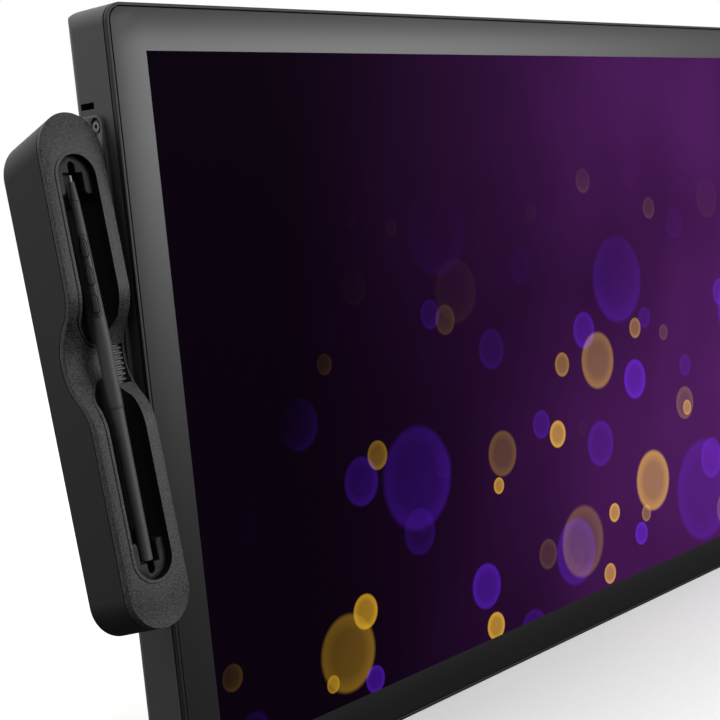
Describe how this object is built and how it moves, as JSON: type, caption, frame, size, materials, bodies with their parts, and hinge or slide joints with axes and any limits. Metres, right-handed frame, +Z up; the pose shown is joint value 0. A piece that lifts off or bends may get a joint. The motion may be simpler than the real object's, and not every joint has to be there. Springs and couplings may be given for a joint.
{
  "type": "pen display",
  "caption": "Wide pen display with etched glass, rear bolt mount and finger keys, and a leaning side tray that holds a slim three-button pen.",
  "frame": {"origin": "centre of the rear bolt pattern, on the rear face", "axes": "+X along the width, +Y out of the rear face, +Z up; the screen faces -Y"},
  "size_m": [0.6776, 0.0603, 0.3798],
  "materials": {
    "etched_glass": "anti-glare etched glass with a dark printed border",
    "frame_paint": "dark anodised edge",
    "sensor_film": "clear film over a dark panel",
    "screen": "liquid crystal panel with a lit picture",
    "light_guide": "white light guide",
    "board": "green circuit board",
    "plain_steel": "pressed steel",
    "cast_alloy": "die-cast light alloy",
    "housing": "fine-grain charcoal moulding",
    "screw_steel": "zinc-plated steel",
    "bare_alloy": "extruded alloy",
    "socket_black": "black moulding",
    "socket_shell": "plated shell",
    "fan_black": "black moulding",
    "key_plastic": "satin key cap",
    "insert_brass": "knurled brass",
    "bracket_paint": "textured dark grey coat",
    "screw_bright": "bright plated steel",
    "tray_shell_plastic": "fine matt charcoal moulding",
    "tray_cap_plastic": "spark-eroded grain, dark grey",
    "seat_plastic": "satin dark grey moulding",
    "rack_black": "black moulding",
    "nib_plastic": "light grey acetal",
    "pen_plastic": "soft matt dark grey coat",
    "pen_trim": "satin dark trim",
    "coil": "copper winding on a ferrite tube"
  },
  "bodies": {
    "display": {"cover_glass": "etched_glass", "front_frame": "frame_paint", "touch_sensor": "sensor_film", "lcd_panel": "screen", "backlight": "light_guide", "digitizer_board": "board", "shield_plate": "plain_steel", "mid_chassis": "cast_alloy", "rear_cover": "housing", "housing_screws": "screw_steel", "vesa_plate": "plain_steel", "vesa_screws": "screw_steel", "main_board": "board", "board_screws": "screw_steel", "heat_spreader": "bare_alloy", "power_socket": "socket_black", "video_sockets": "socket_shell", "usb_sockets": "socket_shell", "fan_housing_left": "fan_black", "fan_housing_right": "fan_black", "key_board_left": "board", "key_board_right": "board", "switch_board": "board", "side_inserts": "insert_brass", "tray_bracket": "bracket_paint", "bracket_screws": "screw_bright", "tray_shell": "tray_shell_plastic", "tray_cap": "tray_cap_plastic", "tray_screws": "screw_steel", "cap_screws": "screw_steel", "seat_upper": "seat_plastic", "seat_lower": "seat_plastic", "nib_rack": "rack_black", "spare_nibs": "nib_plastic"},
    "pen": {"pen_nose": "pen_plastic", "pen_barrel": "pen_plastic", "pen_switch_plate": "pen_trim", "pen_tail": "pen_plastic", "pen_coil": "coil", "pen_board": "board"},
    "fan_rotor_left": {"fan_rotor_left": "fan_black"},
    "fan_rotor_right": {"fan_rotor_right": "fan_black"},
    "key_left_1": {"key_left_1": "key_plastic"},
    "key_left_2": {"key_left_2": "key_plastic"},
    "key_left_3": {"key_left_3": "key_plastic"},
    "key_left_4": {"key_left_4": "key_plastic"},
    "key_right_1": {"key_right_1": "key_plastic"},
    "key_right_2": {"key_right_2": "key_plastic"},
    "key_right_3": {"key_right_3": "key_plastic"},
    "key_right_4": {"key_right_4": "key_plastic"},
    "power_button": {"power_button": "key_plastic"},
    "touch_switch": {"touch_switch": "key_plastic"},
    "pen_button_front": {"pen_button_front": "pen_trim"},
    "pen_button_middle": {"pen_button_middle": "pen_trim"},
    "pen_button_rear": {"pen_button_rear": "pen_trim"},
    "pen_nib": {"pen_nib": "nib_plastic"}
  },
  "joints": [
    {"name": "fan_left_spin", "type": "hinge", "parent": "display", "child": "fan_rotor_left", "pos_m": [-0.15, -0.012, 0.062], "axis": [0, 1, 0], "continuous": true},
    {"name": "fan_right_spin", "type": "hinge", "parent": "display", "child": "fan_rotor_right", "pos_m": [0.15, -0.012, 0.062], "axis": [0, 1, 0], "continuous": true},
    {"name": "key_left_1_press", "type": "slide", "parent": "display", "child": "key_left_1", "axis": [0, -1, 0], "range_m": [0, 0.0008], "stiffness_N_per_m": 500, "springref_m": -0.001},
    {"name": "key_left_2_press", "type": "slide", "parent": "display", "child": "key_left_2", "axis": [0, -1, 0], "range_m": [0, 0.0008], "stiffness_N_per_m": 500, "springref_m": -0.001},
    {"name": "key_left_3_press", "type": "slide", "parent": "display", "child": "key_left_3", "axis": [0, -1, 0], "range_m": [0, 0.0008], "stiffness_N_per_m": 500, "springref_m": -0.001},
    {"name": "key_left_4_press", "type": "slide", "parent": "display", "child": "key_left_4", "axis": [0, -1, 0], "range_m": [0, 0.0008], "stiffness_N_per_m": 500, "springref_m": -0.001},
    {"name": "key_right_1_press", "type": "slide", "parent": "display", "child": "key_right_1", "axis": [0, -1, 0], "range_m": [0, 0.0008], "stiffness_N_per_m": 500, "springref_m": -0.001},
    {"name": "key_right_2_press", "type": "slide", "parent": "display", "child": "key_right_2", "axis": [0, -1, 0], "range_m": [0, 0.0008], "stiffness_N_per_m": 500, "springref_m": -0.001},
    {"name": "key_right_3_press", "type": "slide", "parent": "display", "child": "key_right_3", "axis": [0, -1, 0], "range_m": [0, 0.0008], "stiffness_N_per_m": 500, "springref_m": -0.001},
    {"name": "key_right_4_press", "type": "slide", "parent": "display", "child": "key_right_4", "axis": [0, -1, 0], "range_m": [0, 0.0008], "stiffness_N_per_m": 500, "springref_m": -0.001},
    {"name": "power_press", "type": "slide", "parent": "display", "child": "power_button", "axis": [0, 0, -1], "range_m": [0, 0.0006], "stiffness_N_per_m": 600, "springref_m": -0.001},
    {"name": "touch_slide", "type": "slide", "parent": "display", "child": "touch_switch", "axis": [1, 0, 0], "range_m": [0, 0.003]},
    {"name": "pen_lift", "type": "slide", "parent": "display", "child": "pen", "axis": [0, -0.9911, 0.1331], "range_m": [0, 0.08]},
    {"name": "pen_front_press", "type": "slide", "parent": "pen", "child": "pen_button_front", "axis": [0.6691, 0.7365, -0.0989], "range_m": [0, 0.0003], "stiffness_N_per_m": 300, "springref_m": -0.0005},
    {"name": "pen_middle_press", "type": "slide", "parent": "pen", "child": "pen_button_middle", "axis": [0.6691, 0.7365, -0.0989], "range_m": [0, 0.0003], "stiffness_N_per_m": 300, "springref_m": -0.0005},
    {"name": "pen_rear_press", "type": "slide", "parent": "pen", "child": "pen_button_rear", "axis": [0.6691, 0.7365, -0.0989], "range_m": [0, 0.0003], "stiffness_N_per_m": 300, "springref_m": -0.0005},
    {"name": "nib_press", "type": "slide", "parent": "pen", "child": "pen_nib", "axis": [0, -0.1331, -0.9911], "range_m": [0, 0.0005], "stiffness_N_per_m": 400, "springref_m": -0.0005}
  ]
}
